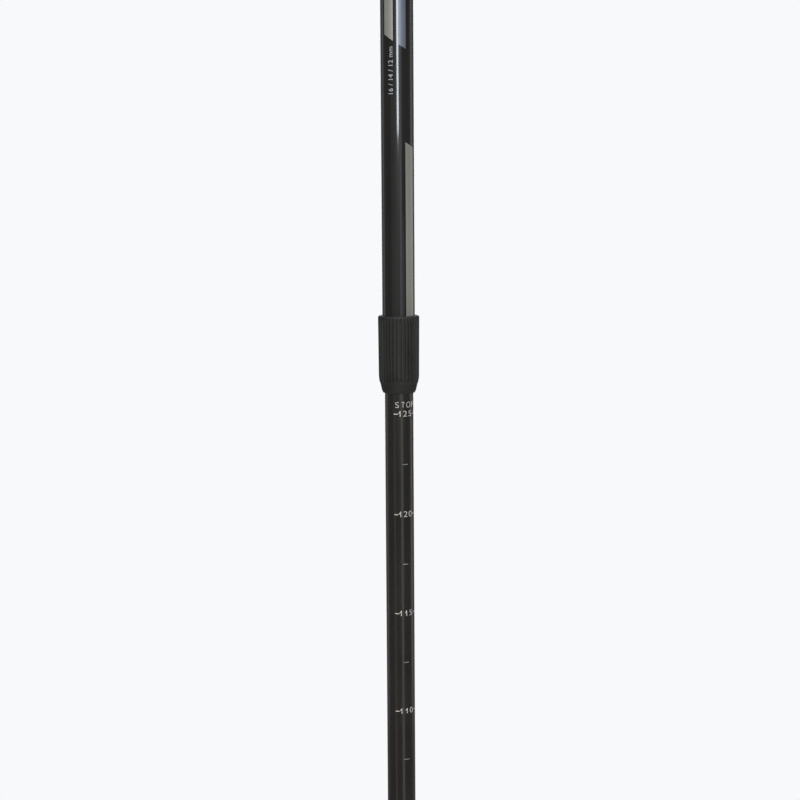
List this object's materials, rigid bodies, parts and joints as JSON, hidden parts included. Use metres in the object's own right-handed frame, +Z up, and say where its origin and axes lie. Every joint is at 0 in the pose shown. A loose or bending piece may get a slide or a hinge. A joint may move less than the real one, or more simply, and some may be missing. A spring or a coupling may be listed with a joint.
{
  "type": "telescoping trekking pole",
  "caption": "Telescoping walking pole with internal twist locks, ribbed collars, printed length scale, foam grip, wrist strap, basket and carbide tip.",
  "frame": {"origin": "centre of the tip's contact face, on the pole's axis", "axes": "+Z up the pole from the tip to the top of the grip; -Y is the side the grip's nose points to, and the wrist strap hangs on the +Y side"},
  "size_m": [0.053, 0.1045, 1.2596],
  "materials": {
    "gloss_lacquer": "gloss blue-black lacquer on aluminium, with printed grey stripes",
    "black_anodised": "satin black anodised, with a printed centimetre scale",
    "collar_plastic": "matte moulded, ribbed",
    "grip_plastic": "fine spark-eroded texture",
    "trim_plastic": "satin grey moulded",
    "grip_foam": "closed-cell foam",
    "webbing": "woven nylon webbing",
    "lining_cloth": "knitted mesh over thin foam",
    "nylon": "natural nylon",
    "red_nylon": "coloured nylon",
    "plated_steel": "zinc plated",
    "carbide": "ground carbide",
    "tip_plastic": "satin moulded"
  },
  "bodies": {
    "handle": {"grip_core": "grip_plastic", "grip_foam": "grip_foam", "grip_end_ring": "trim_plastic", "grip_head_cap": "trim_plastic", "strap_pin": "plated_steel", "upper_tube": "gloss_lacquer", "upper_collar": "collar_plastic", "upper_guide_bush": "nylon"},
    "wedge": {"strap_wedge": "trim_plastic"},
    "strap": {"strap_webbing": "webbing", "strap_lining": "lining_cloth", "strap_keeper": "grip_plastic"},
    "upper_expander": {"upper_expander_sleeve": "nylon"},
    "upper_cone": {"upper_cone_nut": "red_nylon"},
    "middle": {"middle_tube": "black_anodised", "middle_plug": "nylon", "middle_stud": "plated_steel", "middle_stop_nut": "plated_steel", "lower_collar": "collar_plastic", "lower_guide_bush": "nylon"},
    "lower_expander": {"lower_expander_sleeve": "nylon"},
    "lower_cone": {"lower_cone_nut": "red_nylon"},
    "lower": {"lower_tube": "black_anodised", "lower_plug": "nylon", "lower_stud": "plated_steel", "lower_stop_nut": "plated_steel", "tip_ferrule": "tip_plastic", "tip_holder": "plated_steel", "carbide_tip": "carbide"},
    "basket": {"basket": "tip_plastic"}
  },
  "joints": [
    {"name": "wedge_lift", "type": "slide", "parent": "handle", "child": "wedge", "axis": [0, 0, 1], "range_m": [0, 0.008]},
    {"name": "strap_swing", "type": "hinge", "parent": "handle", "child": "strap", "pos_m": [0, 0.015, 1.238], "axis": [1, 0, 0], "range_deg": [0, 100]},
    {"name": "middle_slide", "type": "slide", "parent": "handle", "child": "upper_expander", "axis": [0, 0, 1], "range_m": [0, 0.32]},
    {"name": "middle_twist", "type": "hinge", "parent": "upper_expander", "child": "middle", "pos_m": [0, 0, 0.853], "axis": [0, 0, 1], "range_deg": [-270, 0]},
    {"name": "upper_cone_travel", "type": "slide", "parent": "upper_expander", "child": "upper_cone", "axis": [0, 0, 1], "range_m": [0, 0.00075]},
    {"name": "lower_slide", "type": "slide", "parent": "middle", "child": "lower_expander", "axis": [0, 0, 1], "range_m": [0, 0.235]},
    {"name": "lower_twist", "type": "hinge", "parent": "lower_expander", "child": "lower", "pos_m": [0, 0, 0.498], "axis": [0, 0, 1], "range_deg": [-270, 0]},
    {"name": "lower_cone_travel", "type": "slide", "parent": "lower_expander", "child": "lower_cone", "axis": [0, 0, 1], "range_m": [0, 0.0006]},
    {"name": "basket_turn", "type": "hinge", "parent": "lower", "child": "basket", "pos_m": [0, 0, 0.058], "axis": [0, 0, 1], "range_deg": [-90, 0]}
  ],
  "couplings": [
    {"joint": "upper_cone_travel", "follows": "middle_twist", "m_per_rad": -0.00015915},
    {"joint": "lower_cone_travel", "follows": "lower_twist", "m_per_rad": -0.00012732}
  ]
}
